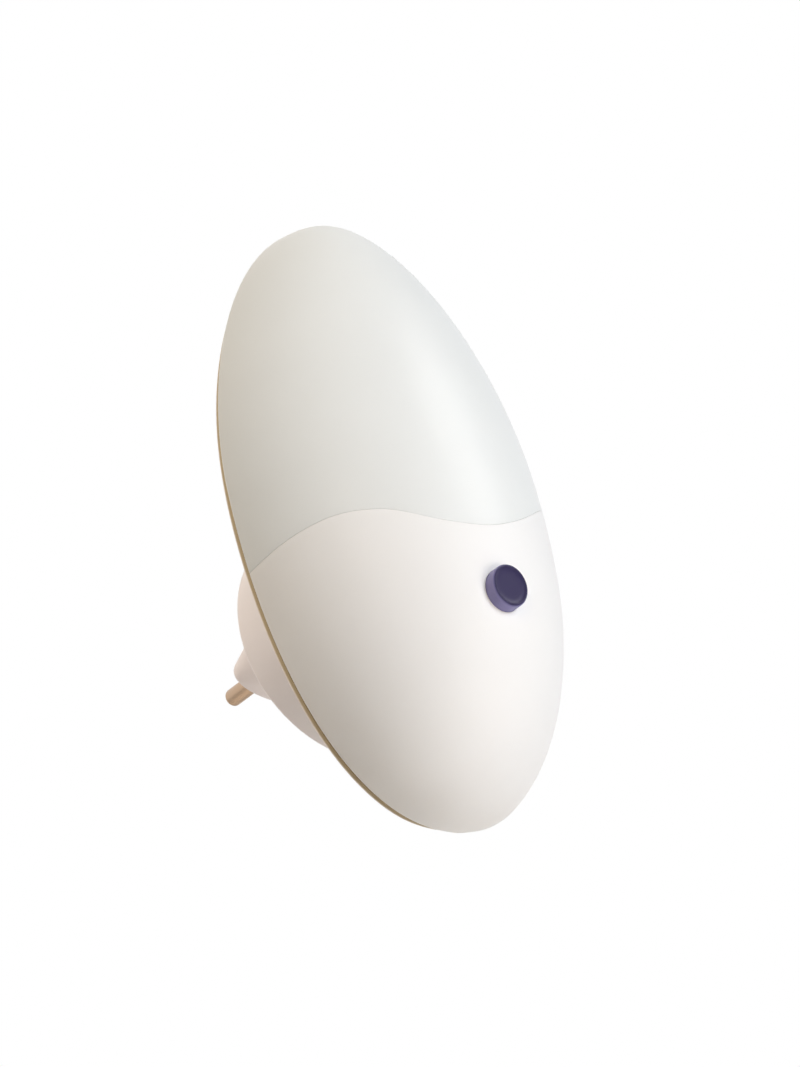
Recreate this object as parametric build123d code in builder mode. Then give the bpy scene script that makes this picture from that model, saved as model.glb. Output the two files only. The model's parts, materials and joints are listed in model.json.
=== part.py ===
from build123d import *
import math
import os

# Plug-in night light. Millimetres. The origin is halfway between the pins, on the plane where
# their full diameter begins. +Y runs into the socket, -Y towards the room and +Z up.

# shell: an egg-shaped dome whose rim is flat
rim_half_width = 40.0
shell_above = 69.1
shell_below = 75.5
shell_depth = 32.3
widest_z = 22.5
deepest_drop_share = 0.309
rim_to_seat = 21.2
shell_wall = 2.0
rim_upper_power = 1.79
rim_lower_power = 2.18
depth_upper_power = 2.01
depth_lower_power = 2.01
section_x_shares = (1.0, 0.8778, 0.5579)
section_y_shares = (0.0, 0.5293, 1.0539)
section_mid_share = 1.3016
shell_stations = 12

# seam between the diffuser and the lower cover: a wave with a dip in the middle, higher on the right
seam_dip_share = 0.272
seam_crest_share = 0.1894
seam_gap = 0.3
seam_x_shares = (0.13, 0.27, 0.38, 0.50, 0.62, 0.74, 0.85, 0.93, 1.0, 1.1)
seam_left_shares = (0.01, 0.165, 0.405, 0.725, 0.92, 0.965, 0.78, 0.47, -0.03, -0.85)
seam_right_shares = (0.19, 0.52, 0.87, 1.29, 1.70, 2.0, 2.12, 2.08, 1.95, 1.6)
tongue_thickness = 1.5
tongue_rise = 2.5
tongue_root = 4.0
tongue_bite = 0.3

# back plate and its groove under the rim
groove = 1.4
plate_thickness = 1.6
plate_inset = 1.4
plate_edge_round = 0.8
spigot_gap = 1.3
spigot_thickness = 1.6
spigot_depth = 2.4
pad_radius = 5.0
pad_depth = 3.4

# round plug base with its tapered nose
base_radius = 27.7
base_wall = 2.2
base_floor = 2.5
base_edge_round = 0.6
nose_length = 17.9
nose_end_half_height = 6.7
nose_side = 7.6
nose_slope_deg = 18.0
nose_wall = 2.2
nose_end_wall = 3.0
nose_edge_round = 0.8
plate_opening_gap = 1.5
base_post_radius = 3.0
base_post_bite = 1.0
base_post_count = 3

# plug pins
pin_radius = 2.0
pin_pitch = 19.0
pin_proud = 11.4
pin_root = 0.6
pin_neck_radius = 1.8
pin_tip_round = 0.9
pin_collar_radius = 3.2
pin_collar = 2.0
pin_tail_radius = 1.5
pin_tail = 7.0
pin_block_depth = 8.0
pin_block_gap = 0.55
pin_post_radius = 3.0
clip_radius = 2.3
clip_length = 5.0
wire_radius = 0.9

# push button and switch
button_drop_share = 0.4646
button_radius = 4.6
button_proud = 2.3
button_tilt_deg = 7.0
button_edge_round = 0.45
dish_radius = 3.9
dish_depth = 0.5
button_gap = 0.3
flange_width = 1.9
flange_thickness = 1.5
guide_wall = 1.6
guide_length = 4.6
guide_seat_depth = 4.2
stem_radius = 2.0
stem_length = 3.4
switch_side = 8.6
switch_height = 7.3
plunger_radius = 1.75
plunger_proud = 3.6
plunger_sunk = 2.4
bore_floor = 0.6
terminal_radius = 0.5
terminal_length = 3.4
terminal_pitch = 2.5
spring_wire = 0.3
spring_radius = 3.0
spring_turns = 4

# circuit board and what it carries
board_rise_share = 0.557
board_drop_share = 0.709
board_side_gap = 1.8
board_thickness = 1.6
standoff_radius = 3.0
standoff_margin = 1.0
standoff_end = 5.0
led_radius = 2.5
led_flange = 0.5
led_flange_thickness = 1.0
led_body = 5.5
led_first_share = 0.613
led_last_share = 0.914
led_count = 3
reflector_thickness = 1.0
reflector_margin = 6.0
reflector_gap = 1.2
capacitor_width = 15.0
capacitor_height = 6.0
capacitor_depth = 10.0
capacitor_share = 0.387
can_radius = 4.0
can_length_share = 0.87
can_share = 0.7
axial_lead = 0.4
axial_lift = 1.0
axial_leg_gap = 1.6
resistor_radius = 1.2
resistor_length = 6.5
resistor_shares = (0.484, 0.538)
fuse_radius = 2.0
fuse_length = 11.0
fuse_share = 0.29
diode_radius = 1.35
diode_length = 5.0
diode_x = 5.5
diode_shares = (0.828, 0.882)
wire_end_share = 0.29

# screws
screw_radius = 1.3
screw_head_radius = 2.5
screw_head = 1.6
screw_slot = 0.7
screw_slot_depth = 0.8
screw_length = 8.0
hole_slack = 0.3
snug = 0.05
top_post_share = 0.86
low_post_x_share = 0.655
low_post_share = 0.662
post_radius = 3.2
head_recess = 0.4
board_screw_length = 6.0
nose_skin = 1.6

# places worked out from the sizes
clear = 0.3
nose_end = -pin_root
base_rear = nose_end - nose_length
rim_y = base_rear - rim_to_seat
top_z = widest_z + shell_above
bottom_z = widest_z - shell_below
plate_front = rim_y + groove
plate_rear = plate_front + plate_thickness
pad_front = plate_front - pad_depth
pin_x = pin_pitch / 2
beyond = shell_depth + shell_above + shell_below
deepest_z = widest_z - deepest_drop_share * shell_below
seam_dip_z = widest_z - seam_dip_share * shell_below
seam_crest_z = widest_z - seam_crest_share * shell_below
button_z = widest_z - button_drop_share * shell_below
top_post_z = widest_z + top_post_share * shell_above
low_post_z = widest_z - low_post_share * shell_below
board_top_z = widest_z + board_rise_share * shell_above
board_bottom_z = widest_z - board_drop_share * shell_below
board_high = board_top_z - board_bottom_z
spigot_inset = shell_wall + spigot_gap
nose_end_half_length = pin_x + nose_side


def front_plane(y):
    return Plane(origin=(0, y, 0), x_dir=(1, 0, 0), z_dir=(0, -1, 0))


def egg_share(rise, reach, power):
    return max(0, 1 - (abs(rise) / reach) ** power) ** (1 / power)


def half_width(z, inset):
    rise = z - widest_z
    if rise > 0:
        return (rim_half_width - inset) * egg_share(rise, shell_above - inset, rim_upper_power)
    return (rim_half_width - inset) * egg_share(rise, shell_below - inset, rim_lower_power)


def depth(z, inset):
    rise = z - deepest_z
    if rise > 0:
        return (shell_depth - inset) * egg_share(rise, top_z - inset - deepest_z, depth_upper_power)
    return (shell_depth - inset) * egg_share(rise, deepest_z - bottom_z - inset, depth_lower_power)


def stations(inset):
    middle = (top_z + bottom_z) / 2
    half = (top_z - bottom_z) / 2 - inset
    turns = [math.pi * i / shell_stations for i in range(1, shell_stations)]
    return [middle - half * math.cos(turn) for turn in turns]


def egg_section(z, inset, back):
    # one level slice of the dome: a smooth arch to the front, closed straight at the back
    wide = half_width(z, inset)
    deep = depth(z, inset) + back
    side = [(x * wide, -y * deep) for x, y in zip(section_x_shares, section_y_shares)]
    left = [(-x, y) for x, y in side]
    arch = left + [(0, -section_mid_share * deep)] + side[::-1]
    with BuildSketch(Plane(origin=(0, rim_y + back, z), x_dir=(1, 0, 0), z_dir=(0, 0, 1))) as level:
        with BuildLine():
            Bezier(*arch)
            Line(arch[-1], arch[0])
        make_face()
    return level.sketch


def egg_form(inset, back):
    slices = [egg_section(z, inset, back) for z in stations(inset)]
    foot = Vertex(0, rim_y + back, bottom_z + inset)
    head = Vertex(0, rim_y + back, top_z - inset)
    with BuildPart() as form:
        loft(sections=[foot] + slices + [head])
    return form.part


def seam_points(shift):
    rise = seam_crest_z - seam_dip_z
    base_z = seam_dip_z + shift
    left = [
        (-x * rim_half_width, base_z + z * rise) for x, z in zip(seam_x_shares, seam_left_shares)
    ]
    right = [
        (x * rim_half_width, base_z + z * rise) for x, z in zip(seam_x_shares, seam_right_shares)
    ]
    return left[::-1] + [(0, base_z)] + right


def wave_block(low_shift, high_shift):
    # everything between two copies of the seam wave; None leaves that side open
    with BuildPart() as block:
        with BuildSketch(front_plane(0)):
            with BuildLine():
                lower = seam_points(low_shift or 0)
                upper = seam_points(high_shift or 0)
                if low_shift is None:
                    wave = Spline(*upper)
                    Polyline(wave @ 1, (upper[-1][0], -beyond), (upper[0][0], -beyond), wave @ 0)
                elif high_shift is None:
                    wave = Spline(*lower)
                    Polyline(wave @ 1, (lower[-1][0], beyond), (lower[0][0], beyond), wave @ 0)
                else:
                    wave = Spline(*lower)
                    crest = Spline(*upper)
                    Line(wave @ 1, crest @ 1)
                    Line(wave @ 0, crest @ 0)
            make_face()
        extrude(amount=beyond, both=True)
    return block.part


def egg_slab(inset, y_rear, y_front, mode=Mode.ADD):
    # a slab in the rim's outline, drawn in by the inset
    with BuildSketch(front_plane(y_rear)) as outline:
        with BuildLine():
            right = [(half_width(z, inset), z) for z in stations(inset)]
            left = [(-x, z) for x, z in reversed(right)]
            Spline((0, bottom_z + inset), *right, (0, top_z - inset), *left, periodic=True)
        make_face()
    extrude(outline.sketch, amount=y_rear - y_front, mode=mode)


def rod(x, z, radius, y_rear, y_front, mode=Mode.ADD):
    with BuildSketch(front_plane(y_rear)) as disc:
        with Locations((x, z)):
            Circle(radius)
    extrude(disc.sketch, amount=y_rear - y_front, mode=mode)


def block(x, z, wide, high, y_rear, y_front, mode=Mode.ADD):
    with BuildSketch(front_plane(y_rear)) as oblong:
        with Locations((x, z)):
            Rectangle(wide, high)
    extrude(oblong.sketch, amount=y_rear - y_front, mode=mode)


def oval(half_length, half_height, y_rear, y_front, spread=0, mode=Mode.ADD):
    # an oval that widens towards the front
    grown = (y_rear - y_front) * spread
    with BuildSketch(front_plane(y_rear)) as small:
        Ellipse(half_length, half_height)
    with BuildSketch(front_plane(y_front)) as large:
        Ellipse(half_length + grown, half_height + grown)
    loft(sections=[small.sketch, large.sketch], ruled=True, mode=mode)


def screw_from_rear(x, z, seat, length):
    # head behind the seat, shank forward
    rod(x, z, screw_head_radius, seat + screw_head, seat)
    rod(x, z, screw_radius, seat, seat - length)
    slot_floor = seat + screw_head - screw_slot_depth
    block(x, z, 2 * screw_head_radius, screw_slot, seat + screw_head, slot_floor, Mode.SUBTRACT)


def screw_from_front(x, z, seat, length):
    # head in front of the seat, shank to the rear
    rod(x, z, screw_head_radius, seat, seat - screw_head)
    rod(x, z, screw_radius, seat + length, seat)
    slot_floor = seat - screw_head + screw_slot_depth
    block(x, z, 2 * screw_head_radius, screw_slot, slot_floor, seat - screw_head, Mode.SUBTRACT)


def save(builder, name):
    builder.part.label = name
    export_step(builder.part, "parts/" + name + ".step")


os.makedirs("parts", exist_ok=True)

outer_form = egg_form(0, 0)
inner_form = egg_form(shell_wall, groove)
low_post_x = low_post_x_share * half_width(low_post_z, 0)
low_posts = [(-low_post_x, low_post_z), (low_post_x, low_post_z)]
board_half_width = low_post_x - post_radius - board_side_gap
standoff_x = board_half_width - standoff_radius - standoff_margin
standoff_rows = (board_bottom_z + standoff_end, board_top_z - standoff_end)
standoffs = [(side * standoff_x, z) for side in (-1, 1) for z in standoff_rows]
base_post_ring = base_radius - base_wall - base_post_radius + base_post_bite
plate_opening_radius = base_post_ring - base_post_radius - plate_opening_gap
base_posts = [
    (
        base_post_ring * math.sin(2 * math.pi * i / base_post_count),
        base_post_ring * math.cos(2 * math.pi * i / base_post_count),
    )
    for i in range(base_post_count)
]

# push button places; the switch and the board follow from the button
surface_y = rim_y - depth(button_z, 0)
face_y = surface_y - button_proud
hole_radius = button_radius + button_gap
flange_radius = button_radius + flange_width
guide_bore = flange_radius + button_gap
guide_radius = guide_bore + guide_wall
seat_y = surface_y + guide_seat_depth
guide_end = seat_y + guide_length
flange_front = seat_y + snug
flange_rear = flange_front + flange_thickness
plunger_front = flange_rear + stem_length
switch_front = plunger_front + plunger_proud
plunger_rear = switch_front + plunger_sunk
board_front = switch_front + switch_height
board_rear = board_front + board_thickness
tilt = math.radians(button_tilt_deg)
face_normal = (0, -math.cos(tilt), -math.sin(tilt))

# screw posts of the two shells, cut to the dome
with BuildPart() as top_post:
    rod(0, top_post_z, post_radius, pad_front, pad_front - shell_depth)
    add(outer_form, mode=Mode.INTERSECT)

with BuildPart() as cover_posts:
    for post_x, post_z in low_posts:
        rod(post_x, post_z, post_radius, pad_front, pad_front - shell_depth)
    add(outer_form, mode=Mode.INTERSECT)

# upper translucent shell
with BuildPart() as diffuser:
    add(outer_form)
    add(inner_form, mode=Mode.SUBTRACT)
    add(wave_block(seam_gap, None), mode=Mode.INTERSECT)
    add(top_post.part)
    rod(0, top_post_z, screw_radius + snug, pad_front, pad_front - screw_length, Mode.SUBTRACT)
save(diffuser, "diffuser")

# tongue of the lower cover behind the diffuser's edge
tongue_front = rim_y - spigot_depth - clear
tongue_skin = shell_wall + clear
tongue_void = egg_form(tongue_skin + tongue_thickness, 2 * groove)
with BuildPart() as tongue:
    add(egg_form(tongue_skin, groove))
    add(tongue_void, mode=Mode.SUBTRACT)
    add(wave_block(-tongue_root, tongue_rise), mode=Mode.INTERSECT)
    block(0, 0, 2 * beyond, 2 * beyond, 0, tongue_front, Mode.SUBTRACT)

with BuildPart() as tongue_foot:
    add(egg_form(shell_wall - tongue_bite, groove))
    add(tongue_void, mode=Mode.SUBTRACT)
    add(wave_block(-tongue_root, 0), mode=Mode.INTERSECT)
    block(0, 0, 2 * beyond, 2 * beyond, 0, tongue_front, Mode.SUBTRACT)

with BuildPart() as button_guide:
    rod(0, button_z, guide_radius, guide_end, face_y)
    add(outer_form, mode=Mode.INTERSECT)

# lower opaque shell
with BuildPart() as lower_cover:
    add(outer_form)
    add(inner_form, mode=Mode.SUBTRACT)
    add(wave_block(None, 0), mode=Mode.INTERSECT)
    add(tongue_foot.part)
    add(tongue.part)
    add(cover_posts.part)
    add(button_guide.part)
    rod(0, button_z, hole_radius, guide_end, face_y, Mode.SUBTRACT)
    rod(0, button_z, guide_bore, guide_end, seat_y, Mode.SUBTRACT)
    for post_x, post_z in low_posts:
        hole_end = pad_front - screw_length
        rod(post_x, post_z, screw_radius + snug, pad_front, hole_end, Mode.SUBTRACT)
save(lower_cover, "lower_cover")

# back plate with spigot, pads and standoffs
head_seat = plate_rear - screw_head - head_recess
with BuildPart() as back_plate:
    egg_slab(plate_inset, plate_rear, plate_front)
    plate_edges = back_plate.faces().sort_by(Axis.Y)[-1].edges()
    fillet(plate_edges, plate_edge_round)
    egg_slab(spigot_inset, plate_front, rim_y - spigot_depth)
    spigot_inner = spigot_inset + spigot_thickness
    egg_slab(spigot_inner, plate_front, rim_y - spigot_depth, Mode.SUBTRACT)
    for pad_x, pad_z in [(0, top_post_z)] + low_posts:
        rod(pad_x, pad_z, pad_radius, plate_front, pad_front)
        rod(pad_x, pad_z, screw_radius + hole_slack, plate_rear, pad_front, Mode.SUBTRACT)
        rod(pad_x, pad_z, screw_head_radius + hole_slack, plate_rear, head_seat, Mode.SUBTRACT)
    rod(0, 0, plate_opening_radius, plate_rear, plate_front, Mode.SUBTRACT)
    for post_x, post_z in base_posts:
        rod(post_x, post_z, screw_radius + hole_slack, plate_rear, plate_front, Mode.SUBTRACT)
    for post_x, post_z in standoffs:
        rod(post_x, post_z, standoff_radius, plate_front, board_rear)
        hole_end = board_rear + board_screw_length
        rod(post_x, post_z, screw_radius + snug, hole_end, board_rear, Mode.SUBTRACT)
save(back_plate, "back_plate")

# round plug base with its hollow nose
nose_spread = math.tan(math.radians(nose_slope_deg))
cavity_end = nose_end - nose_end_wall
floor_front = base_rear - base_floor
cavity_half_height = nose_end_half_height - nose_wall + nose_end_wall * nose_spread
cavity_half_length = nose_end_half_length - nose_wall + nose_end_wall * nose_spread
with BuildPart() as plug_base:
    rod(0, 0, base_radius, base_rear, plate_rear)
    base_edge = plug_base.faces().sort_by(Axis.Y)[-1].edges()
    fillet(base_edge, base_edge_round)
    rod(0, 0, base_radius - base_wall, floor_front, plate_rear, Mode.SUBTRACT)
    oval(nose_end_half_length, nose_end_half_height, nose_end, floor_front, nose_spread)
    nose_edge = plug_base.faces().sort_by(Axis.Y)[-1].edges()
    fillet(nose_edge, nose_edge_round)
    oval(
        cavity_half_length,
        cavity_half_height,
        cavity_end,
        floor_front,
        nose_spread,
        Mode.SUBTRACT,
    )
    for side in (-1, 1):
        rod(side * pin_x, 0, pin_neck_radius + snug, nose_end, cavity_end, Mode.SUBTRACT)
    rod(0, 0, pin_post_radius, cavity_end + snug, cavity_end - pin_collar)
    rod(0, 0, screw_radius + snug, nose_end - nose_skin, cavity_end - pin_collar, Mode.SUBTRACT)
    for post_x, post_z in base_posts:
        rod(post_x, post_z, base_post_radius, floor_front + snug, plate_rear)
        hole_end = plate_rear + screw_length
        rod(post_x, post_z, screw_radius + snug, hole_end, plate_rear, Mode.SUBTRACT)
save(plug_base, "plug_base")

# metal pins with collar and tail
collar_front = cavity_end - pin_collar
block_front = collar_front - pin_block_depth
tail_front = block_front - pin_tail


def plug_pin(side):
    with BuildPart() as pin:
        rod(side * pin_x, 0, pin_radius, pin_proud, 0)
        tip = pin.faces().sort_by(Axis.Y)[-1].edges()
        fillet(tip, pin_tip_round)
        rod(side * pin_x, 0, pin_neck_radius, 0, collar_front)
        rod(side * pin_x, 0, pin_collar_radius, cavity_end, collar_front)
        rod(side * pin_x, 0, pin_tail_radius, collar_front, tail_front)
    return pin


save(plug_pin(-1), "left_pin")
save(plug_pin(1), "right_pin")

# insulating block behind the collars
with BuildPart() as pin_block:
    oval(
        cavity_half_length - pin_block_gap,
        cavity_half_height - pin_block_gap,
        collar_front,
        block_front,
    )
    for side in (-1, 1):
        rod(side * pin_x, 0, pin_tail_radius + snug, collar_front, block_front, Mode.SUBTRACT)
    rod(0, 0, screw_radius + hole_slack, collar_front, block_front, Mode.SUBTRACT)
save(pin_block, "pin_block")

with BuildPart() as block_screw:
    screw_from_front(0, 0, block_front, nose_end - nose_skin - clear - block_front)
save(block_screw, "block_screw")

# crimped sleeves on the tails
with BuildPart() as pin_clips:
    for side in (-1, 1):
        rod(side * pin_x, 0, clip_radius, block_front, block_front - clip_length)
        clip_bore = pin_tail_radius + snug
        rod(side * pin_x, 0, clip_bore, block_front, block_front - clip_length, Mode.SUBTRACT)
save(pin_clips, "pin_clips")


wire_end_z = board_bottom_z + wire_end_share * board_high


def mains_wire(side):
    start = (side * pin_x, tail_front, 0)
    end = (side * (board_half_width - 2 * wire_radius), board_rear, wire_end_z)
    with BuildPart() as wire:
        with BuildLine() as run:
            Spline(start, end, tangents=((0, -1, 0), (0, -1, 0)))
        with BuildSketch(Plane(origin=start, x_dir=(1, 0, 0), z_dir=(0, -1, 0))):
            Circle(wire_radius)
        sweep(path=run.line)
    return wire


save(mains_wire(-1), "live_wire")
save(mains_wire(1), "neutral_wire")

# circuit board, standing across the dome
terminals = [
    (terminal_pitch * across, button_z + terminal_pitch * along)
    for across in (-1, 0, 1)
    for along in (-1, 1)
]
led_first_z = board_bottom_z + led_first_share * board_high
led_last_z = board_bottom_z + led_last_share * board_high
led_pitch = (led_last_z - led_first_z) / (led_count - 1)
leds_z = [led_first_z + i * led_pitch for i in range(led_count)]
board_mid_z = (board_top_z + board_bottom_z) / 2
with BuildPart() as circuit_board:
    block(0, board_mid_z, 2 * board_half_width, board_high, board_rear, board_front)
    for post_x, post_z in standoffs:
        rod(post_x, post_z, screw_radius + hole_slack, board_rear, board_front, Mode.SUBTRACT)
    for term_x, term_z in terminals:
        rod(term_x, term_z, terminal_radius + snug, board_rear, board_front, Mode.SUBTRACT)
save(circuit_board, "circuit_board")

# small lamps with a flange and a round top
with BuildPart() as leds:
    for led_z in leds_z:
        flange_end = board_front - led_flange_thickness
        rod(0, led_z, led_radius + led_flange, board_front, flange_end)
        rod(0, led_z, led_radius, board_front, board_front - led_body)
        with Locations((0, board_front - led_body, led_z)):
            Sphere(led_radius)
save(leds, "leds")

# white sheet around the lamps
reflector_half_width = standoff_x - screw_head_radius - reflector_gap
sheet_low = leds_z[0] - reflector_margin
sheet_high = leds_z[-1] + reflector_margin
with BuildPart() as reflector:
    sheet_front = board_front - reflector_thickness
    sheet_mid = (sheet_low + sheet_high) / 2
    block(0, sheet_mid, 2 * reflector_half_width, sheet_high - sheet_low, board_front, sheet_front)
    for led_z in leds_z:
        led_hole = led_radius + led_flange + hole_slack
        rod(0, led_z, led_hole, board_front, sheet_front, Mode.SUBTRACT)
save(reflector, "reflector")

with BuildPart() as film_capacitor:
    capacitor_rear = board_rear + capacitor_depth
    capacitor_z = board_bottom_z + capacitor_share * board_high
    block(0, capacitor_z, capacitor_width, capacitor_height, capacitor_rear, board_rear)
save(film_capacitor, "film_capacitor")

with BuildPart() as can_capacitor:
    can_rear = board_rear + can_length_share * (plate_front - board_rear)
    rod(0, board_bottom_z + can_share * board_high, can_radius, can_rear, board_rear)
save(can_capacitor, "can_capacitor")


def axial(x, z, radius, length):
    # a body across X on two legs that stand on the board's rear
    body_y = board_rear + axial_lift + radius
    leg_x = length / 2 + axial_leg_gap
    body_plane = Plane(origin=(x - length / 2, body_y, z), x_dir=(0, 1, 0), z_dir=(1, 0, 0))
    with BuildSketch(body_plane) as body:
        Circle(radius)
    extrude(body.sketch, amount=length)
    lead_plane = Plane(origin=(x - leg_x, body_y, z), x_dir=(0, 1, 0), z_dir=(1, 0, 0))
    with BuildSketch(lead_plane) as lead:
        Circle(axial_lead)
    extrude(lead.sketch, amount=2 * leg_x)
    for side in (-1, 1):
        rod(x + side * leg_x, z, axial_lead, body_y + axial_lead, board_rear)


with BuildPart() as resistors:
    for share in resistor_shares:
        axial(0, board_bottom_z + share * board_high, resistor_radius, resistor_length)
save(resistors, "resistors")

with BuildPart() as fuse:
    axial(0, board_bottom_z + fuse_share * board_high, fuse_radius, fuse_length)
save(fuse, "fuse")

with BuildPart() as rectifier_diodes:
    for side in (-1, 1):
        for share in diode_shares:
            diode_z = board_bottom_z + share * board_high
            axial(side * diode_x, diode_z, diode_radius, diode_length)
save(rectifier_diodes, "rectifier_diodes")

# push switch on the board
with BuildPart() as switch_body:
    block(0, button_z, switch_side, switch_side, board_front, switch_front)
    bore_rear = board_front - bore_floor
    rod(0, button_z, plunger_radius + snug, bore_rear, switch_front, Mode.SUBTRACT)
save(switch_body, "switch_body")

with BuildPart() as switch_terminals:
    for term_x, term_z in terminals:
        rod(term_x, term_z, terminal_radius, board_front + terminal_length, board_front)
save(switch_terminals, "switch_terminals")

with BuildPart() as switch_plunger:
    rod(0, button_z, plunger_radius, plunger_rear, plunger_front)
save(switch_plunger, "switch_plunger")

# dished button with its flange and stem
dish_ball = (dish_radius**2 + dish_depth**2) / (2 * dish_depth)
dish_away = dish_ball - dish_depth
with BuildPart() as push_button:
    rod(0, button_z, button_radius, flange_rear, face_y - button_radius)
    split(bisect_by=Plane(origin=(0, face_y, button_z), z_dir=face_normal), keep=Keep.BOTTOM)
    face_edge = push_button.faces().sort_by(Axis.Y)[0].edges()
    fillet(face_edge, button_edge_round)
    with Locations((0, face_y + dish_away * face_normal[1], button_z + dish_away * face_normal[2])):
        Sphere(dish_ball, mode=Mode.SUBTRACT)
    rod(0, button_z, flange_radius, flange_rear, flange_front)
    rod(0, button_z, stem_radius, plunger_front, flange_rear)
save(push_button, "push_button")

# return spring between the switch and the flange
spring_start = switch_front - spring_wire - clear
spring_height = spring_start - flange_rear - spring_wire - clear
with BuildPart() as button_spring:
    with BuildLine() as coil:
        Helix(
            pitch=spring_height / spring_turns,
            height=spring_height,
            radius=spring_radius,
            center=(0, spring_start, button_z),
            direction=(0, -1, 0),
        )
    with BuildSketch(Plane(origin=coil.line @ 0, z_dir=coil.line % 0)):
        Circle(spring_wire)
    sweep(path=coil.line)
save(button_spring, "button_spring")

# screws
with BuildPart() as housing_screws:
    for post_x, post_z in [(0, top_post_z)] + low_posts:
        screw_from_rear(post_x, post_z, head_seat, head_seat - pad_front + screw_length - clear)
save(housing_screws, "housing_screws")

with BuildPart() as base_screws:
    for post_x, post_z in base_posts:
        screw_from_front(post_x, post_z, plate_front, plate_thickness + screw_length - clear)
save(base_screws, "base_screws")

with BuildPart() as board_screws:
    for post_x, post_z in standoffs:
        screw_length_here = board_thickness + board_screw_length - clear
        screw_from_front(post_x, post_z, board_front, screw_length_here)
save(board_screws, "board_screws")
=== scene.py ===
import json
import math

import bmesh
import bpy
import numpy
from mathutils import Matrix, Vector


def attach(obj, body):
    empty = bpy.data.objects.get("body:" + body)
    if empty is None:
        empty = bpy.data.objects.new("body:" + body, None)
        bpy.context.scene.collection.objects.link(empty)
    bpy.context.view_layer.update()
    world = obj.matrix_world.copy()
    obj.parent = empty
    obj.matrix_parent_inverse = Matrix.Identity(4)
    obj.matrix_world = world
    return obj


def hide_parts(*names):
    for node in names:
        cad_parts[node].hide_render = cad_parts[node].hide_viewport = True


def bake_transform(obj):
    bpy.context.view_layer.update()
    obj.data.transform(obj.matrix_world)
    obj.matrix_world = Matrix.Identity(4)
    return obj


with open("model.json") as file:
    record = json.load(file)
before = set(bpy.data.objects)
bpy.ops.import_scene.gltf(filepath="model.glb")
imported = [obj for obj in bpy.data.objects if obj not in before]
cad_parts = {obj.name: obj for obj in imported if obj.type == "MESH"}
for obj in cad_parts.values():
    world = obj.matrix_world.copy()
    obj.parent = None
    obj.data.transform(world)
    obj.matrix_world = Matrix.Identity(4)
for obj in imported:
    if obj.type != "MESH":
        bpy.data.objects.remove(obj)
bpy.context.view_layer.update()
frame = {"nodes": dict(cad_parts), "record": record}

nodes = frame["nodes"]
scene = bpy.context.scene
scene.view_settings.view_transform = "Standard"

# the shell, as the solids have it; the arch is a curve across it, from the left rim to the right
mm = 0.001
rim_half_width = 40.0 * mm
shell_above = 69.1 * mm
shell_below = 75.5 * mm
shell_depth = 32.3 * mm
shell_wall = 2.0 * mm
widest_z = 22.5 * mm
deepest_drop_share = 0.309
deepest_z = widest_z - deepest_drop_share * shell_below
rim_y = -39.7 * mm
top_z = widest_z + shell_above
bottom_z = widest_z - shell_below
rim_upper_power = 1.79
rim_lower_power = 2.18
depth_power = 2.01
arch_x_shares = (-1.0, -0.8778, -0.5579, 0.0, 0.5579, 0.8778, 1.0)
arch_y_shares = (0.0, 0.5293, 1.0539, 1.3016, 1.0539, 0.5293, 0.0)
arch_degree = len(arch_x_shares) - 1
arch_middle = 0.5
arch_samples = 1001

# the seam; its visible slit is narrower than the solids' clearance, because its lips are rounded
seam_dip_share = 0.272
seam_crest_share = 0.1894
seam_dip_z = widest_z - seam_dip_share * shell_below
seam_crest_z = widest_z - seam_crest_share * shell_below
seam_x_shares = (0.13, 0.27, 0.38, 0.50, 0.62, 0.74, 0.85, 0.93, 1.0, 1.1)
seam_left_shares = (0.01, 0.165, 0.405, 0.725, 0.92, 0.965, 0.78, 0.47, -0.03, -0.85)
seam_right_shares = (0.19, 0.52, 0.87, 1.29, 1.70, 2.0, 2.12, 2.08, 1.95, 1.6)
seam_slit = 0.01 * mm
lip_round = 0.14 * mm
rim_round = 0.45 * mm
rim_round_share = 0.2

# the shell's grid: columns from the rim's rounding over the steep side to the front, rows from the seam
rim_steps = 6
side_columns = 5
front_columns = 48
half_columns = rim_steps + side_columns + front_columns
columns = 2 * half_columns
side_end_turn = 0.1
lip_steps = 4
diffuser_rows = 96
cover_rows = 64
tiny = 1e-9
halvings = 40
seam_rounds = 12
settle_rounds = 2
crease_angle = math.radians(40.0)

# push button and its guide
button_drop_share = 0.4646
button_z = widest_z - button_drop_share * shell_below
button_radius = 4.6 * mm
button_proud = 2.3 * mm
button_tilt = math.radians(7.0)
button_edge_round = 0.45 * mm
dish_radius = 4.05 * mm
dish_depth = 0.35 * mm
dish_power = 10
dish_steps = 40
lit_wall_start = 4.3 * mm
hole_radius = 4.64 * mm
hole_round = 0.06 * mm
flange_radius = 6.5 * mm
flange_thickness = 1.5 * mm
stem_radius = 2.0 * mm
stem_length = 3.4 * mm
guide_bore = 6.8 * mm
guide_radius = 8.4 * mm
guide_seat_depth = 4.2 * mm
guide_length = 4.6 * mm
guide_patch = 10.0 * mm
patch_rings = 4
snug = 0.05 * mm

# return spring
spring_wire = 0.3 * mm
spring_radius = 3.0 * mm
spring_turns = 4
spring_clear = 0.3 * mm
plunger_proud = 3.6 * mm
coil_steps = 40
wire_sides = 12

# pins
pin_x = 9.5 * mm
pin_radius = 2.0 * mm
pin_neck_radius = 1.8 * mm
pin_collar_radius = 3.2 * mm
pin_tail_radius = 1.5 * mm
pin_proud = 11.4 * mm
pin_tip_round = 0.9 * mm
pin_shoulder_round = 0.15 * mm
pin_collar_rear = -3.6 * mm
pin_collar_front = -5.6 * mm
pin_tail_front = -20.6 * mm
turned_sides = 96
round_steps = 6
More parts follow.
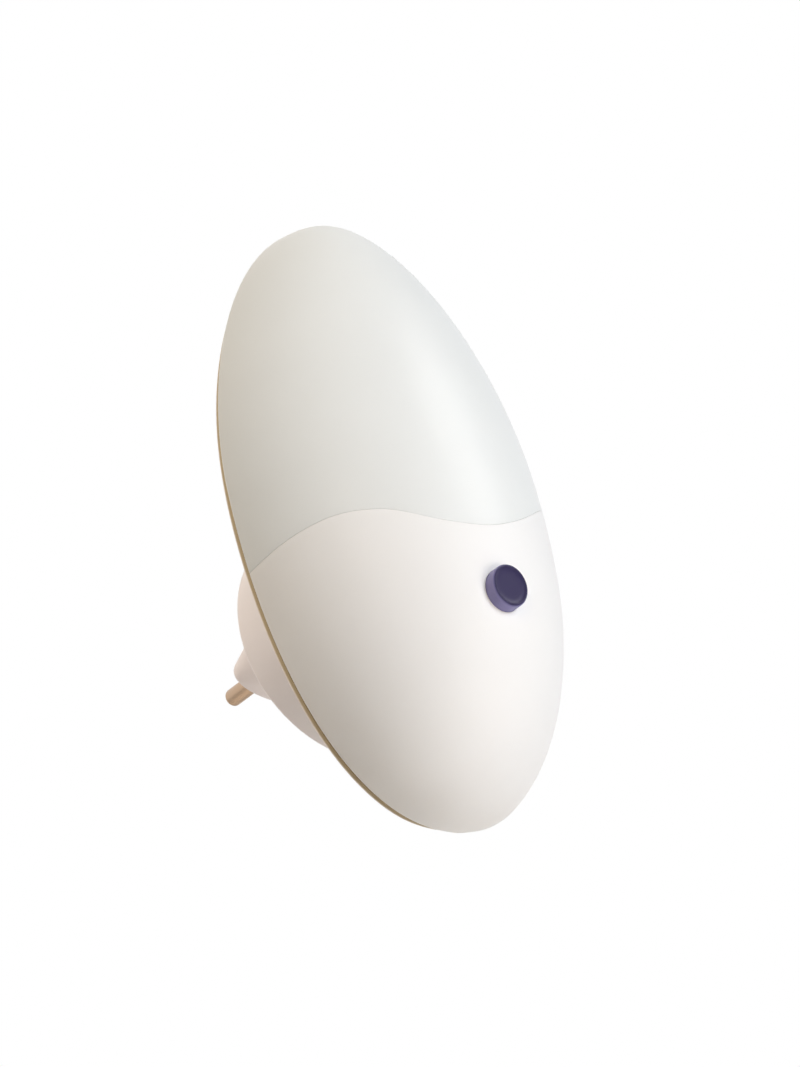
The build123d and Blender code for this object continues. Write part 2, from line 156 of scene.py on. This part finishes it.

# looks: noise scales per metre, the relief of the grain, and where the bands of painted shade start and end
noise_detail = 3.0
mottle_low_share = 0.3
mottle_high_share = 0.7
mottle_scale = 60.0
metal_mottle = 300.0
grain_scale = 1500.0
grain_relief = 0.02 * mm
grain_bump = 0.35
smooth_grain = 700.0
polished_grain = 900.0
smooth_relief = 0.002 * mm
plate_shade_front = -38.3 * mm
plate_shade_rear = -36.7 * mm
nose_shade_front = -18.5 * mm
nose_shade_rear = -0.6 * mm
untinted = (1.0, 1.0, 1.0)

# stage, camera at the photograph's angle, and light
floor_reach = 4.0
floor_z = -0.75
floor_gloss_share = 0.5
aim = Vector((0.0, rim_y, widest_z))
camera_back = Vector((-0.61300, -0.67533, -0.41008)).normalized()
camera_right = Vector((0.78470, -0.58091, -0.21632)).normalized()
camera_up = camera_back.cross(camera_right)
camera_distance = 0.7
camera_clip = 0.01
lens_length = 109.8
lens_sensor = 36.0
lens_shift_x = 0.0212
lens_shift_y = -0.0241
fill_colour = (1.0, 0.95, 0.88, 1.0)
fill_strength = 0.03
lamp_distance = 1.2
lamp_size = 0.5


# materials
def graph(name):
    mat = bpy.data.materials.new(name)
    mat.use_nodes = True
    tree = mat.node_tree
    tree.nodes.clear()
    out = tree.nodes.new("ShaderNodeOutputMaterial")
    shader = tree.nodes.new("ShaderNodeBsdfPrincipled")
    tree.links.new(shader.outputs["BSDF"], out.inputs["Surface"])
    place = tree.nodes.new("ShaderNodeTexCoord")
    return mat, tree, shader, place.outputs["Object"]


def noise(tree, place, scale, stretch=None):
    if stretch:
        mapping = tree.nodes.new("ShaderNodeMapping")
        mapping.inputs["Scale"].default_value = stretch
        tree.links.new(place, mapping.inputs["Vector"])
        place = mapping.outputs["Vector"]
    tex = tree.nodes.new("ShaderNodeTexNoise")
    tex.inputs["Scale"].default_value = scale
    tex.inputs["Detail"].default_value = noise_detail
    tree.links.new(place, tex.inputs["Vector"])
    return tex.outputs["Fac"]


def ramp(tree, value, stops):
    # two stops, each a position and a colour
    node = tree.nodes.new("ShaderNodeValToRGB")
    for element, (position, colour) in zip(node.color_ramp.elements, stops):
        element.position = position
        element.color = (*colour, 1)
    tree.links.new(value, node.inputs["Fac"])
    return node.outputs["Color"]


def mottled(tree, place, scale, dark, light, stretch=None):
    stops = [(mottle_low_share, dark), (mottle_high_share, light)]
    return ramp(tree, noise(tree, place, scale, stretch), stops)


def span(tree, value, low, high, start=0.0, end=1.0):
    node = tree.nodes.new("ShaderNodeMapRange")
    node.inputs["From Min"].default_value = start
    node.inputs["From Max"].default_value = end
    node.inputs["To Min"].default_value = low
    node.inputs["To Max"].default_value = high
    tree.links.new(value, node.inputs["Value"])
    return node.outputs["Result"]


def along_y(tree, place, start, end):
    node = tree.nodes.new("ShaderNodeSeparateXYZ")
    tree.links.new(place, node.inputs["Vector"])
    return span(tree, node.outputs["Y"], 0.0, 1.0, start, end)


def multiply(tree, first, second):
    node = tree.nodes.new("ShaderNodeMix")
    node.data_type = "RGBA"
    node.blend_type = "MULTIPLY"
    node.inputs["Factor"].default_value = 1.0
    tree.links.new(first, node.inputs["A"])
    tree.links.new(second, node.inputs["B"])
    return node.outputs["Result"]


def add_grain(tree, shader, place, scale, rough, relief, stretch=None):
    # a fine grain in the roughness and in the relief
    fine = noise(tree, place, scale, stretch)
    tree.links.new(span(tree, fine, *rough), shader.inputs["Roughness"])
    bump = tree.nodes.new("ShaderNodeBump")
    bump.inputs["Strength"].default_value = grain_bump
    bump.inputs["Distance"].default_value = relief
    tree.links.new(fine, bump.inputs["Height"])
    tree.links.new(bump.outputs["Normal"], shader.inputs["Normal"])


def finish(
    name,
    dark,
    light,
    rough,
    metal=0.0,
    specular=0.5,
    mottle=mottle_scale,
    grain=grain_scale,
    relief=grain_relief,
    stretch=None,
    painted_shade_band=None,
):
    # a mottled colour and a fine grain; a band of painted shade is its start and end along y, and the shade
    # tints between them
    mat, tree, shader, place = graph(name)
    colour = mottled(tree, place, mottle, dark, light, stretch)
    if painted_shade_band:
        start, end, shade_tints = painted_shade_band
        colour = multiply(tree, colour, ramp(tree, along_y(tree, place, start, end), shade_tints))
    tree.links.new(colour, shader.inputs["Base Color"])
    shader.inputs["Metallic"].default_value = metal
    shader.inputs["Specular IOR Level"].default_value = specular
    add_grain(tree, shader, place, grain, rough, relief, stretch)
    return mat


def button_finish_with_painted_light(name, face, wall, worn, mottle, rough, specular):
    # painted light: the rim and wall are painted lighter than the dish, for the light that falls on them; the
    # dish keeps the darker colour
    mat, tree, shader, place = graph(name)
    centre = tree.nodes.new("ShaderNodeMapping")
    centre.inputs["Location"].default_value = (0.0, 0.0, -button_z)
    centre.inputs["Scale"].default_value = (1.0, 0.0, 1.0)
    tree.links.new(place, centre.inputs["Vector"])
    off = tree.nodes.new("ShaderNodeVectorMath")
    off.operation = "LENGTH"
    tree.links.new(centre.outputs["Vector"], off.inputs[0])
    # painted light: the colour turns from the dish's to the lighter wall's towards the button's edge
    edge = span(tree, off.outputs["Value"], 0.0, 1.0, lit_wall_start, button_radius)
    shade = mottled(tree, place, mottle, worn, untinted)
    colour = multiply(tree, ramp(tree, edge, [(0.0, face), (1.0, wall)]), shade)
    tree.links.new(colour, shader.inputs["Base Color"])
    shader.inputs["Specular IOR Level"].default_value = specular
    add_grain(tree, shader, place, polished_grain, rough, smooth_relief)
    return mat


bare_metal = dict(metal=1.0, mottle=metal_mottle)
finishes = {
    "opal": dict(
        dark=(0.780, 0.786, 0.770),
        light=(0.792, 0.798, 0.782),
        rough=(0.30, 0.35),
        specular=0.35,
        grain=smooth_grain,
        relief=smooth_relief,
    ),
    "cover_white": dict(
        dark=(0.868, 0.850, 0.832),
        light=(0.878, 0.860, 0.844),
        rough=(0.42, 0.48),
        specular=0.3,
        grain=smooth_grain,
        relief=smooth_relief,
    ),
    "plate_white": dict(
        dark=(0.82, 0.76, 0.71),
        light=(0.85, 0.79, 0.74),
        rough=(0.42, 0.52),
        relief=0.006 * mm,
        # painted shade: the plate's front edge, which lies in the shadow of the groove under the rim, is
        # painted a darker tan
        painted_shade_band=(plate_shade_front, plate_shade_rear, [(0.40, (0.51, 0.42, 0.26)), (0.80, untinted)]),
    ),
    "plug_white": dict(
        dark=(0.86, 0.81, 0.81),
        light=(0.885, 0.835, 0.835),
        rough=(0.40, 0.48),
        relief=0.008 * mm,
        # painted shade: the nose is painted darker towards its end, where it lies in shade
        painted_shade_band=(nose_shade_front, nose_shade_rear, [(0.0, untinted), (0.5, (0.86, 0.83, 0.81))]),
    ),
    "pin_metal": dict(
        dark=(0.54, 0.375, 0.25),
        light=(0.57, 0.405, 0.28),
        rough=(0.36, 0.42),
        metal=1.0,
        mottle=260.0,
        grain=polished_grain,
        relief=smooth_relief,
        stretch=(1.0, 0.08, 1.0),
    ),
    "block_grey": dict(dark=(0.52, 0.52, 0.5), light=(0.62, 0.62, 0.6), rough=(0.45, 0.6)),
    "screw_steel": dict(dark=(0.5, 0.5, 0.52), light=(0.66, 0.66, 0.67), rough=(0.28, 0.42), **bare_metal),
    "clip_brass": dict(dark=(0.62, 0.47, 0.2), light=(0.78, 0.63, 0.34), rough=(0.25, 0.4), **bare_metal),
    "wire_brown": dict(dark=(0.16, 0.07, 0.035), light=(0.22, 0.1, 0.05), rough=(0.4, 0.55)),
    "wire_blue": dict(dark=(0.02, 0.07, 0.25), light=(0.035, 0.1, 0.32), rough=(0.4, 0.55)),
    "board_green": dict(dark=(0.012, 0.09, 0.035), light=(0.03, 0.15, 0.06), rough=(0.3, 0.45), mottle=120.0),
    "led_clear": dict(dark=(0.82, 0.82, 0.72), light=(0.9, 0.9, 0.82), rough=(0.08, 0.15)),
    "reflector_white": dict(dark=(0.84, 0.84, 0.83), light=(0.9, 0.9, 0.89), rough=(0.5, 0.65)),
    "capacitor_red": dict(dark=(0.27, 0.025, 0.015), light=(0.36, 0.04, 0.025), rough=(0.3, 0.42)),
    "can_dark": dict(dark=(0.012, 0.014, 0.025), light=(0.025, 0.028, 0.045), rough=(0.3, 0.42)),
    "resistor_tan": dict(dark=(0.42, 0.28, 0.15), light=(0.52, 0.37, 0.22), rough=(0.35, 0.5), mottle=400.0),
    "fuse_glass": dict(dark=(0.66, 0.7, 0.68), light=(0.74, 0.78, 0.76), rough=(0.05, 0.12)),
    "diode_black": dict(dark=(0.006, 0.006, 0.006), light=(0.014, 0.014, 0.014), rough=(0.4, 0.55)),
    "switch_black": dict(dark=(0.008, 0.008, 0.009), light=(0.018, 0.018, 0.02), rough=(0.4, 0.55)),
    "terminal_tin": dict(dark=(0.6, 0.6, 0.6), light=(0.74, 0.74, 0.73), rough=(0.3, 0.45), **bare_metal),
    "plunger_white": dict(dark=(0.68, 0.68, 0.65), light=(0.76, 0.76, 0.73), rough=(0.4, 0.5)),
    "spring_steel": dict(
        dark=(0.46, 0.46, 0.48),
        light=(0.6, 0.6, 0.62),
        rough=(0.25, 0.4),
        metal=1.0,
        mottle=400.0,
    ),
}
looks = {slot: finish(slot, **values) for slot, values in finishes.items()}
looks["button_indigo"] = button_finish_with_painted_light(
    "button_indigo",
    face=(0.034, 0.027, 0.080),
    # painted light: the wall's lighter colour stands in for the light on the button's side
    wall=(0.270, 0.250, 0.480),
    worn=(0.93, 0.93, 0.93),
    mottle=90.0,
    rough=(0.22, 0.28),
    specular=0.2,
)
for subpart in frame["record"]["subparts"]:
    node = nodes[subpart["node"]]
    node.data.materials.clear()
    node.data.materials.append(looks[subpart["material_slot"]])


# helpers for meshes
def add_piece(name, points, faces, node, slot, body="housing"):
    mesh = bpy.data.meshes.new(name)
    mesh.from_pydata(points, [], faces)
    form = bmesh.new()
    form.from_mesh(mesh)
    bmesh.ops.recalc_face_normals(form, faces=form.faces)
    for face in form.faces:
        face.smooth = True
    form.to_mesh(mesh)
    form.free()
    mesh.set_sharp_from_angle(angle=crease_angle)
    mesh.materials.append(looks[slot])
    obj = bpy.data.objects.new(name, mesh)
    scene.collection.objects.link(obj)
    if body:
        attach(obj, body)
    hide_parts(node)
    return obj


def quarter_round(steps):
    # for each step of a quarter turn, 1 - sine and 1 - cosine
    angles = [math.pi / 2 * step / steps for step in range(steps + 1)]
    return [(1 - math.sin(angle), 1 - math.cos(angle)) for angle in angles]


def between(first, second):
    # the faces between two closed rings, given by the numbers of their points
    count = len(first)
    return [
        [first[i], first[(i + 1) % count], second[(i + 1) % count], second[i]]
        for i in range(count)
    ]


def tube(rings):
    # the points of the rings, the faces from each ring to the next, and the rings' point numbers
    sides = len(rings[0])
    points = [point for ring in rings for point in ring]
    ids = [list(range(n * sides, (n + 1) * sides)) for n in range(len(rings))]
    faces = [face for first, second in zip(ids, ids[1:]) for face in between(first, second)]
    return points, faces, ids


# the egg's outer and inner faces
def egg_share(rise, reach, power):
    return max(0.0, 1 - (abs(rise) / reach) ** power) ** (1 / power)


def half_width(z, inset):
    rise = z - widest_z
    reach, power = (shell_above, rim_upper_power) if rise > 0 else (shell_below, rim_lower_power)
    return (rim_half_width - inset) * egg_share(rise, reach - inset, power)


def depth(z, inset):
    rise = z - deepest_z
    reach = top_z - deepest_z if rise > 0 else deepest_z - bottom_z
    return (shell_depth - inset) * egg_share(rise, reach - inset, depth_power)


def arch(shares, turn):
    # the arch's Bezier curve in one direction; its turn goes from 0 at the left rim to 1 at the right
    return sum(
        math.comb(arch_degree, i) * turn**i * (1 - turn) ** (arch_degree - i) * share
        for i, share in enumerate(shares)
    )


def front_y(x, z, inset):
    # the face's y over a point of the front view
    wide = half_width(z, inset)
    low, high = arch_middle, 1.0
    for _ in range(halvings):
        turn = (low + high) / 2
        if wide * arch(arch_x_shares, turn) < abs(x):
            low = turn
        else:
            high = turn
    return rim_y - depth(z, inset) * arch(arch_y_shares, low)


# the seam's wave
def natural_cubic(xs, ys):
    # the natural cubic spline through the points, as a function of x
    steps = numpy.diff(xs)
    slopes = numpy.diff(ys) / steps
    system = numpy.eye(len(xs))
    change = numpy.zeros(len(xs))
    for i in range(1, len(xs) - 1):
        system[i, i - 1 : i + 2] = (steps[i - 1], 2 * (steps[i - 1] + steps[i]), steps[i])
        change[i] = 6 * (slopes[i] - slopes[i - 1])
    bend = numpy.linalg.solve(system, change)

    def height(x):
        i = int(min(max(numpy.searchsorted(xs, x) - 1, 0), len(steps) - 1))
        step = steps[i]
        before, after = x - xs[i], xs[i + 1] - x
        return float(
            (bend[i] * after**3 + bend[i + 1] * before**3) / (6 * step)
            + (ys[i] / step - bend[i] * step / 6) * after
            + (ys[i + 1] / step - bend[i + 1] * step / 6) * before
        )

    return height


def seam_side(direction, rise_shares):
    rise = seam_crest_z - seam_dip_z
    return [
        (direction * x * rim_half_width, seam_dip_z + z * rise)
        for x, z in zip(seam_x_shares, rise_shares)
    ]


seam_left = seam_side(-1, seam_left_shares)[::-1]
seam_right = seam_side(1, seam_right_shares)
seam_height = natural_cubic(*numpy.array(seam_left + [(0.0, seam_dip_z)] + seam_right).T)


def seam_start(turn, inset, side):
    # the height of the seam's lip on one column
    across = arch(arch_x_shares, turn)
    z = seam_dip_z
    for _ in range(seam_rounds):
        z = seam_height(half_width(z, inset) * across) + side * seam_slit / 2
    return z


# the shell's grid
arch_turns = numpy.linspace(0.0, arch_middle, arch_samples)
arch_rises = numpy.array([arch(arch_y_shares, turn) for turn in arch_turns])
side_end_rise = arch(arch_y_shares, side_end_turn)
rim_arc = quarter_round(rim_steps)[::-1]


def turn_at(rise):
    # where on the arch, from the left rim to the middle, a share of the depth is reached
    return float(numpy.interp(rise, arch_rises, arch_turns))


def shell_column(index, z):
    # counted from the left rim to the right: how far a column is drawn in, and its turn along the arch
    if index > half_columns:
        inset, turn = shell_column(columns - index, z)
        return inset, 1 - turn
    deep = depth(z, 0.0)
    edge = min(rim_round, rim_round_share * deep)
    edge_rise = edge / max(deep, tiny)
    if index <= rim_steps:
        rise_share, inset_share = rim_arc[index]
        return edge * inset_share, turn_at(edge_rise * rise_share)
    step = index - rim_steps
    if step <= side_columns:
        return 0.0, turn_at(edge_rise + (side_end_rise - edge_rise) * step / side_columns)
    step -= side_columns
    return 0.0, side_end_turn + (arch_middle - side_end_turn) * step / front_columns


def shell_face(rows, end_z, wall):
    # rows from the seam's lip to one end of the egg, each from rim to rim; last the end's point
    side = 1 if end_z > widest_z else -1
    lip_arc = quarter_round(lip_steps)[:0:-1]
    levels = [(lip_round * lift, lip_round * inset, 0.0) for lift, inset in lip_arc]
    levels += [(lip_round, 0.0, math.sin(math.pi / 2 * k / rows)) for k in range(rows)]
    points = []
    for lift, lip_inset, share in levels:
        for index in range(columns + 1):
            z = seam_dip_z + (end_z - seam_dip_z) * share
            inset, turn = shell_column(index, z)
            for _ in range(settle_rounds):
                drawn = wall if wall else lip_inset + inset
                start = seam_start(turn, drawn, side) + side * lift
                z = start + (end_z - side * drawn - start) * share
                inset, turn = shell_column(index, z)
            x = half_width(z, drawn) * arch(arch_x_shares, turn)
            points.append((x, rim_y - depth(z, drawn) * arch(arch_y_shares, turn), z))
    points.append((0.0, rim_y, end_z - side * wall))
    return points


def shell_mesh(rows, end_z):
    # points and faces of the outer face, inner face, seam and rim, with the faces listed by their place;
    # also the function that numbers an outer point, and how much further its inner point is
    outer = shell_face(rows, end_z, 0.0)
    inner = shell_face(rows, end_z, shell_wall)
    shift = len(outer)
    levels = rows + lip_steps
    faces = {}

    def at(k, j):
        return shift - 1 if k == levels else k * (columns + 1) + j

    for k in range(levels):
        for j in range(columns):
            ring = [at(k, j), at(k, j + 1), at(k + 1, j + 1), at(k + 1, j)]
            ring = list(dict.fromkeys(ring))
            faces["outer", k, j] = ring
            faces["inner", k, j] = [i + shift for i in reversed(ring)]
    for j in range(columns):
        faces["seam", j] = [at(0, j), at(0, j + 1), at(0, j + 1) + shift, at(0, j) + shift]
    for j in (0, columns):
        for k in range(levels):
            faces["rim", k, j] = [at(k, j), at(k + 1, j), at(k + 1, j) + shift, at(k, j) + shift]
    return outer + inner, faces, at, shift


# diffuser
diffuser_points, diffuser_faces = shell_mesh(diffuser_rows, top_z)[:2]
add_piece("diffuser_shell", diffuser_points, list(diffuser_faces.values()), "diffuser", "opal")

# lower cover, with a round hole and the guide's sleeve behind it
cover_points, placed_faces, at, shift = shell_mesh(cover_rows, bottom_z)
row_heights = [cover_points[at(k, half_columns)][2] for k in range(cover_rows + lip_steps)]
first_row = next(k for k, z in enumerate(row_heights) if z < button_z + guide_patch)
last_row = next(k for k, z in enumerate(row_heights) if z < button_z - guide_patch)
right = next(j for j in range(half_columns, columns) if cover_points[at(last_row, j)][0] > guide_patch)
left = columns - right
for k in range(first_row, last_row):
    for j in range(left, right):
        del placed_faces["outer", k, j], placed_faces["inner", k, j]
cover_faces = list(placed_faces.values())
border = [at(first_row, j) for j in range(left, right)]
border += [at(k, right) for k in range(first_row, last_row)]
border += [at(last_row, j) for j in range(right, left, -1)]
border += [at(k, left) for k in range(last_row, first_row, -1)]
border_turns = [math.atan2(cover_points[i][2] - button_z, cover_points[i][0]) for i in border]


def circle(radius, y=0.0):
    # round the button's axis, with one point for each of the border
    return [(radius * math.cos(turn), y, button_z + radius * math.sin(turn)) for turn in border_turns]


def add_ring(ids, ring):
    # a new ring of the cover, joined to the last one
    cover_points.extend(ring)
    fresh = list(range(len(cover_points) - len(ring), len(cover_points)))
    cover_faces.extend(between(ids, fresh))
    return fresh


def close_in(ids, radius, inset):
    # rings on the shell's face, from the grid to a circle round the button
    start = [cover_points[i] for i in ids]
    goal = circle(radius)
    for ring in range(1, patch_rings + 1):
        share = ring / patch_rings
        loop = []
        for (x0, _, z0), (x1, _, z1) in zip(start, goal):
            x = x0 + (x1 - x0) * share
            z = z0 + (z1 - z0) * share
            loop.append((x, front_y(x, z, inset), z))
        ids = add_ring(ids, loop)
    return ids


surface_y = rim_y - depth(button_z, 0.0)
seat_y = surface_y + guide_seat_depth
guide_end = seat_y + guide_length
sleeve = close_in(border, hole_radius + hole_round, 0.0)
mouth_y = [cover_points[i][1] for i in sleeve]
for out_share, sunk_share in quarter_round(round_steps)[1:]:
    loop = circle(hole_radius + hole_round * out_share)
    sunk = hole_round * sunk_share
    sleeve = add_ring(sleeve, [(x, y + sunk, z) for (x, _, z), y in zip(loop, mouth_y)])
sleeve = add_ring(sleeve, circle(hole_radius, seat_y))
sleeve = add_ring(sleeve, circle(guide_bore, seat_y))
sleeve = add_ring(sleeve, circle(guide_bore, guide_end))
sleeve = add_ring(sleeve, circle(guide_radius, guide_end))
behind = close_in([i + shift for i in border], guide_radius, shell_wall)
cover_faces.extend(between(sleeve, behind))
used = sorted({i for face in cover_faces for i in face})
renumber = {old: new for new, old in enumerate(used)}
cover_faces = [[renumber[i] for i in face] for face in cover_faces]
add_piece("cover_shell", [cover_points[i] for i in used], cover_faces, "lower_cover", "cover_white")


# turned pieces, along y
def turned(name, x, z, profile, node, slot, body="housing"):
    # the profile has a radius and its y at an angle for each ring; the first and last close in a point
    angles = [2 * math.pi * i / turned_sides for i in range(turned_sides)]
    rings = [
        [(x + radius * math.cos(angle), y(angle), z + radius * math.sin(angle)) for angle in angles]
        for radius, y in profile
    ]
    points, faces, ids = tube(rings)
    for end in (0, -1):
        y = profile[end][1]
        points.append((x, (y(0.0) + y(math.pi)) / 2, z))
        ring = ids[end]
        faces += [[ring[i], ring[(i + 1) % turned_sides], len(points) - 1] for i in range(turned_sides)]
    add_piece(name, points, faces, node, slot, body)


def flat(y):
    return lambda angle: y


pin_profile = [
    (pin_tail_radius, flat(pin_tail_front)),
    (pin_tail_radius, flat(pin_collar_front)),
    (pin_collar_radius, flat(pin_collar_front)),
    (pin_collar_radius, flat(pin_collar_rear)),
    (pin_neck_radius, flat(pin_collar_rear)),
    (pin_neck_radius, flat(0.0)),
]
for in_share, rise_share in quarter_round(round_steps):
    radius = pin_radius - pin_shoulder_round * in_share
    pin_profile.append((radius, flat(pin_shoulder_round * rise_share)))
for drop_share, in_share in quarter_round(round_steps):
    radius = pin_radius - pin_tip_round * in_share
    pin_profile.append((radius, flat(pin_proud - pin_tip_round * drop_share)))
turned("pin_left_turned", -pin_x, 0.0, pin_profile, "left_pin", "pin_metal")
turned("pin_right_turned", pin_x, 0.0, pin_profile, "right_pin", "pin_metal")

# the button's face leans with the shell, and its dish is round-edged
face_y = surface_y - button_proud
flange_front = seat_y + snug
flange_rear = flange_front + flange_thickness


def leaning(radius, sunk):
    return lambda angle: face_y - math.tan(button_tilt) * radius * math.sin(angle) + sunk


button_profile = [
    (stem_radius, flat(flange_rear + stem_length)),
    (stem_radius, flat(flange_rear)),
    (flange_radius, flat(flange_rear)),
    (flange_radius, flat(flange_front)),
    (button_radius, flat(flange_front)),
]
for sunk_share, in_share in quarter_round(round_steps):
    radius = button_radius - button_edge_round * in_share
    button_profile.append((radius, leaning(radius, button_edge_round * sunk_share)))
for step in range(dish_steps):
    share = 1 - step / dish_steps
    radius = dish_radius * share
    button_profile.append((radius, leaning(radius, dish_depth * (1 - share**dish_power))))
turned("button_cap", 0.0, button_z, button_profile, "push_button", "button_indigo", "button")

# return spring: its rear end lies by the switch, and its front end by the flange
spring_front = flange_rear + spring_clear + spring_wire
spring_rear = flange_rear + stem_length + plunger_proud - spring_clear - spring_wire


def wire_ring(step):
    angle = 2 * math.pi * step / coil_steps
    centre_y = spring_rear + (spring_front - spring_rear) * step / (spring_turns * coil_steps)
    ring = []
    for side in range(wire_sides):
        around = 2 * math.pi * side / wire_sides
        radius = spring_radius + spring_wire * math.cos(around)
        y = centre_y + spring_wire * math.sin(around)
        ring.append((radius * math.cos(angle), y, button_z + radius * math.sin(angle)))
    return ring


coil_points, coil_faces, coil_ids = tube([wire_ring(step) for step in range(spring_turns * coil_steps + 1)])
coil_faces += [coil_ids[0], coil_ids[-1]]
coil = add_piece("button_coil", coil_points, coil_faces, "button_spring", "spring_steel", None)
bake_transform(coil)

# stage: a pale floor far below, because a wall socket holds the lamp
floor_mesh = bpy.data.meshes.new("floor")
floor_corners = [(-1, -1), (1, -1), (1, 1), (-1, 1)]
floor_mesh.from_pydata(
    [(x * floor_reach, y * floor_reach, floor_z) for x, y in floor_corners], [], [(0, 1, 2, 3)]
)
floor = bpy.data.objects.new("floor", floor_mesh)
scene.collection.objects.link(floor)
floor_look = finish(
    "floor_paint",
    dark=(0.8, 0.8, 0.79),
    light=(0.83, 0.83, 0.82),
    rough=(0.7, 0.8),
    mottle=3.0,
    grain=60.0,
)
# the lamps leave the floor dim, so it shines in its paint's colour for the eye, and half so for gloss
floor_tree = floor_look.node_tree
floor_shader = floor_tree.nodes["Principled BSDF"]
floor_ray = floor_tree.nodes.new("ShaderNodeLightPath")
floor_pale = floor_tree.nodes.new("ShaderNodeMath")
floor_pale.operation = "MULTIPLY_ADD"
floor_pale.inputs[1].default_value = floor_gloss_share
floor_tree.links.new(floor_ray.outputs["Is Glossy Ray"], floor_pale.inputs[0])
floor_tree.links.new(floor_ray.outputs["Is Camera Ray"], floor_pale.inputs[2])
floor_tree.links.new(floor_pale.outputs[0], floor_shader.inputs["Emission Strength"])
floor_paint = floor_shader.inputs["Base Color"].links[0].from_socket
floor_tree.links.new(floor_paint, floor_shader.inputs["Emission Color"])
floor_mesh.materials.append(floor_look)

# camera
lens = bpy.data.cameras.new("camera")
lens.lens = lens_length
lens.sensor_width = lens_sensor
lens.shift_x = lens_shift_x
lens.shift_y = lens_shift_y
lens.clip_start = camera_clip
camera = bpy.data.objects.new("camera", lens)
camera_axes = Matrix((camera_right, camera_up, camera_back)).transposed().to_4x4()
camera.matrix_world = Matrix.Translation(aim + camera_distance * camera_back) @ camera_axes
scene.collection.objects.link(camera)
scene.camera = camera

# light: white surroundings for the eye and for gloss, a quieter warm fill for the rest
world = bpy.data.worlds.new("studio")
world.use_nodes = True
scene.world = world
tree = world.node_tree
tree.nodes.clear()
seen = tree.nodes.new("ShaderNodeBackground")
seen.inputs["Color"].default_value = (1.0, 1.0, 1.0, 1.0)
fill = tree.nodes.new("ShaderNodeBackground")
fill.inputs["Color"].default_value = fill_colour
fill.inputs["Strength"].default_value = fill_strength
ray = tree.nodes.new("ShaderNodeLightPath")
either = tree.nodes.new("ShaderNodeMath")
either.operation = "MAXIMUM"
mix = tree.nodes.new("ShaderNodeMixShader")
out = tree.nodes.new("ShaderNodeOutputWorld")
tree.links.new(ray.outputs["Is Camera Ray"], either.inputs[0])
tree.links.new(ray.outputs["Is Glossy Ray"], either.inputs[1])
tree.links.new(either.outputs[0], mix.inputs["Fac"])
tree.links.new(fill.outputs[0], mix.inputs[1])
tree.links.new(seen.outputs[0], mix.inputs[2])
tree.links.new(mix.outputs[0], out.inputs["Surface"])


def lamp(name, heading, power, colour, size=lamp_size):
    # a soft lamp for the matt shading; its heading is to the right, up and nearer, as the camera sees it
    light = bpy.data.lights.new(name, "AREA")
    light.shape = "DISK"
    light.size = size
    light.energy = power
    light.color = colour
    across, rise, near = heading
    direction = (across * camera_right + rise * camera_up + near * camera_back).normalized()
    obj = bpy.data.objects.new(name, light)
    obj.location = aim + lamp_distance * direction
    obj.rotation_euler = direction.to_track_quat("Z", "Y").to_euler()
    obj.visible_glossy = False
    scene.collection.objects.link(obj)
    return obj


lamp("key_high", heading=(0.67, 0.56, 0.48), power=9.0, colour=(0.84, 0.92, 1.0))
lamp("key_low", heading=(0.80, -0.18, 0.58), power=7.6, colour=(1.0, 0.94, 0.91), size=0.9)
lamp("front", heading=(-0.16, 0.58, 0.80), power=3.2, colour=(1.0, 0.84, 0.66))
lamp("left_high", heading=(-0.68, 0.73, -0.11), power=7.0, colour=(1.0, 0.91, 0.78))
lamp("below", heading=(0.32, -0.86, -0.39), power=9.6, colour=(1.0, 0.99, 0.98))
lamp("left_back", heading=(-0.81, -0.38, -0.45), power=9.0, colour=(1.0, 0.89, 0.78))
# one lamp for the gloss alone
shine = lamp("shine", heading=(0.70, 0.68, -0.10), power=3.2, colour=(1.0, 1.0, 1.0), size=0.7)
shine.visible_glossy = True
shine.visible_diffuse = False
